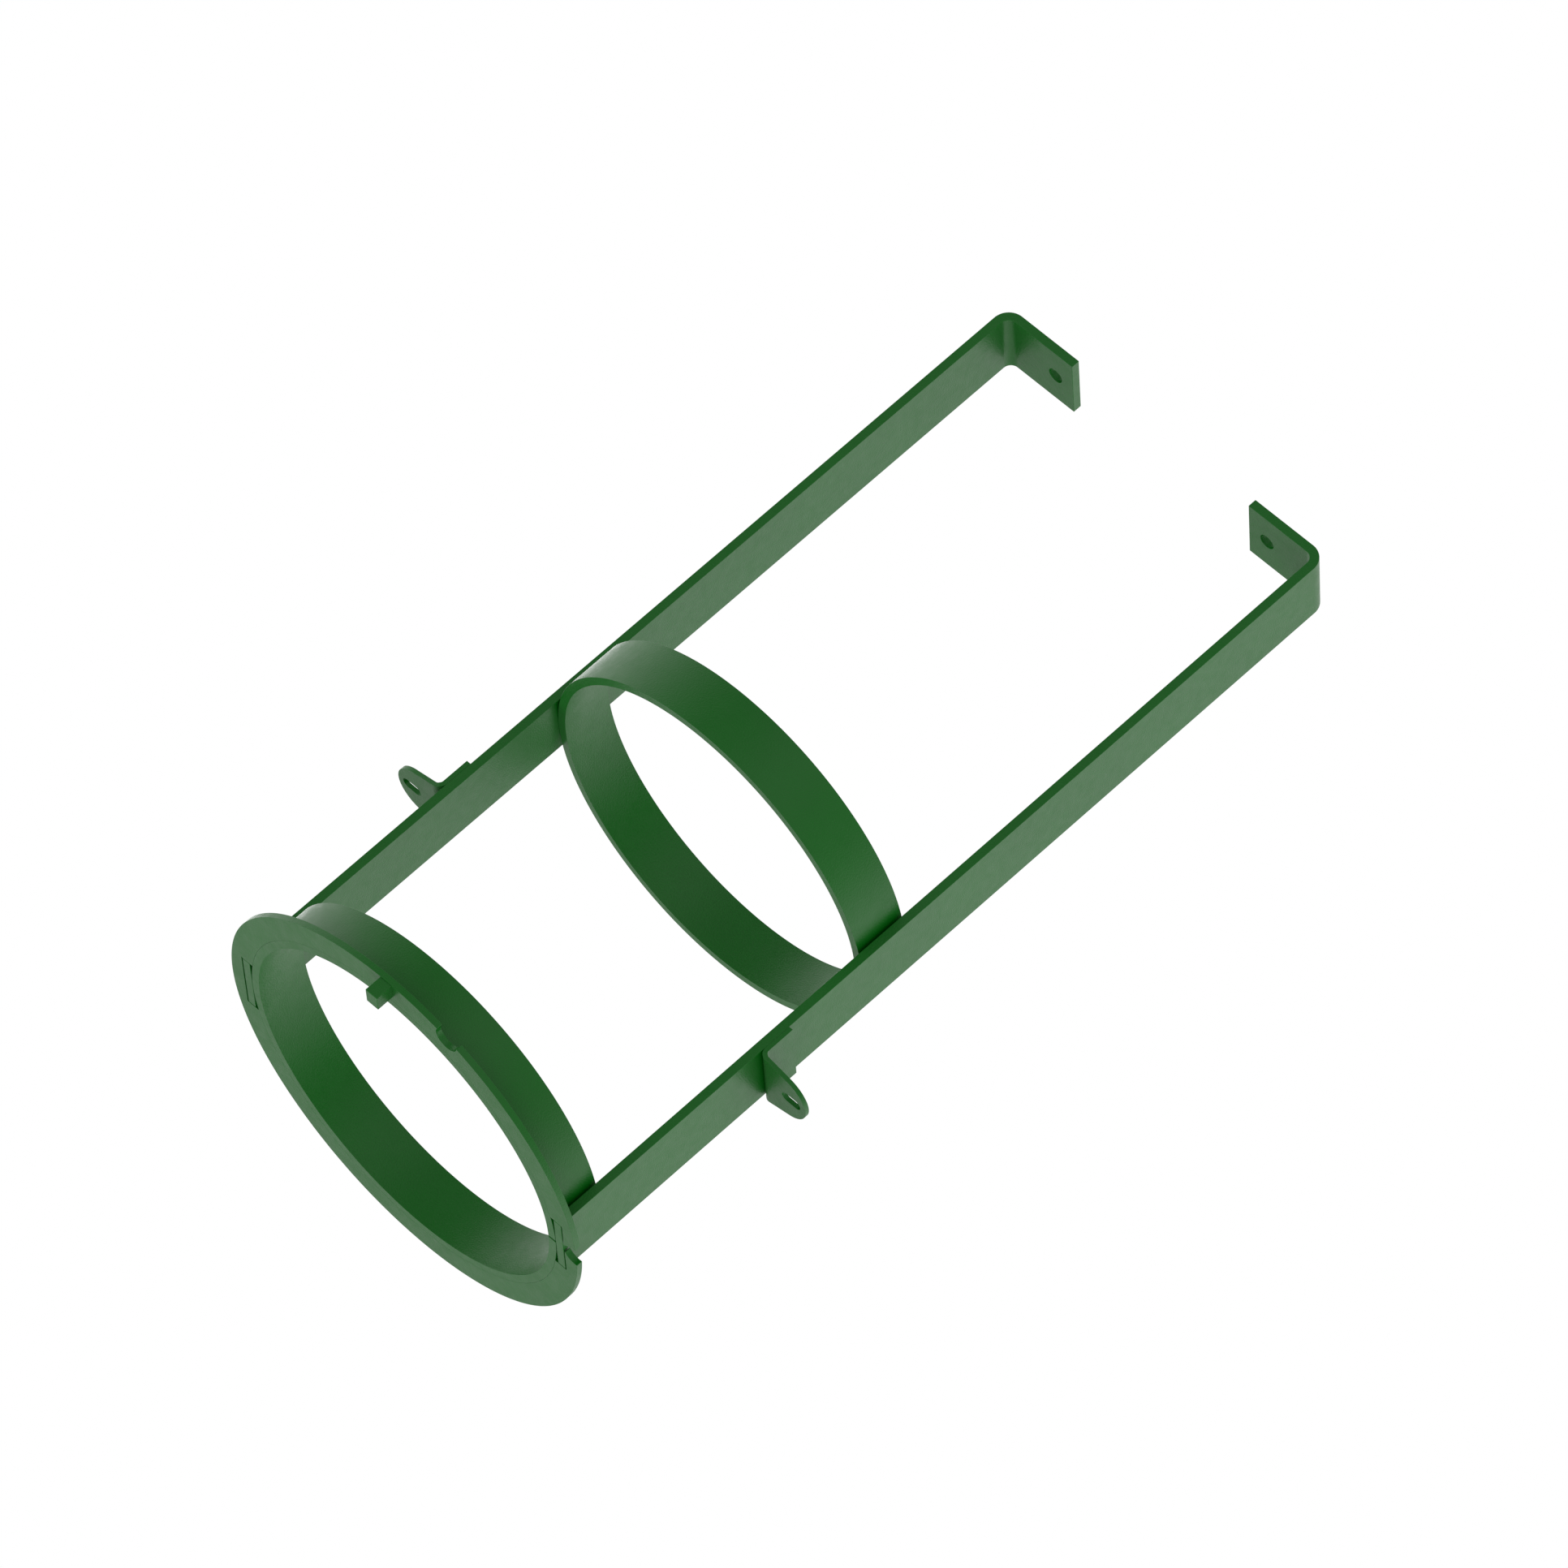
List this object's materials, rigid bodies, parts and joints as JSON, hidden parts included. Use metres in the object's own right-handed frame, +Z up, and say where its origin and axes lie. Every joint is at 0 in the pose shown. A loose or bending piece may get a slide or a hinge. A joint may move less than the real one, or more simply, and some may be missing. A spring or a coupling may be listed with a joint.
{
  "type": "flat-bar cradle frame for a feed pipe",
  "caption": "Welded flat-bar frame: side straps with inturned bolt tabs carry coaxial rings, a notched end flange with a stop block, and slotted side lugs.",
  "frame": {"origin": "on the rings' common axis, in the plane of the outer faces of the inturned bolt tabs", "axes": "+Y along the ring axis, out of the bolt-tab faces and away from the flange; +X across the frame from the left strap to the right strap; +Z up, along the straps' 40 mm height, towards the stop block"},
  "size_m": [0.2858, 0.5465, 0.2418],
  "materials": {
    "green_paint": "satin green powder coat on mild steel flat bar and sheet"
  },
  "bodies": {
    "root": {"left_strap": "green_paint", "right_strap": "green_paint", "front_ring": "green_paint", "rear_ring": "green_paint", "end_flange": "green_paint", "stop_block": "green_paint", "left_lug": "green_paint", "right_lug": "green_paint"}
  },
  "joints": []
}
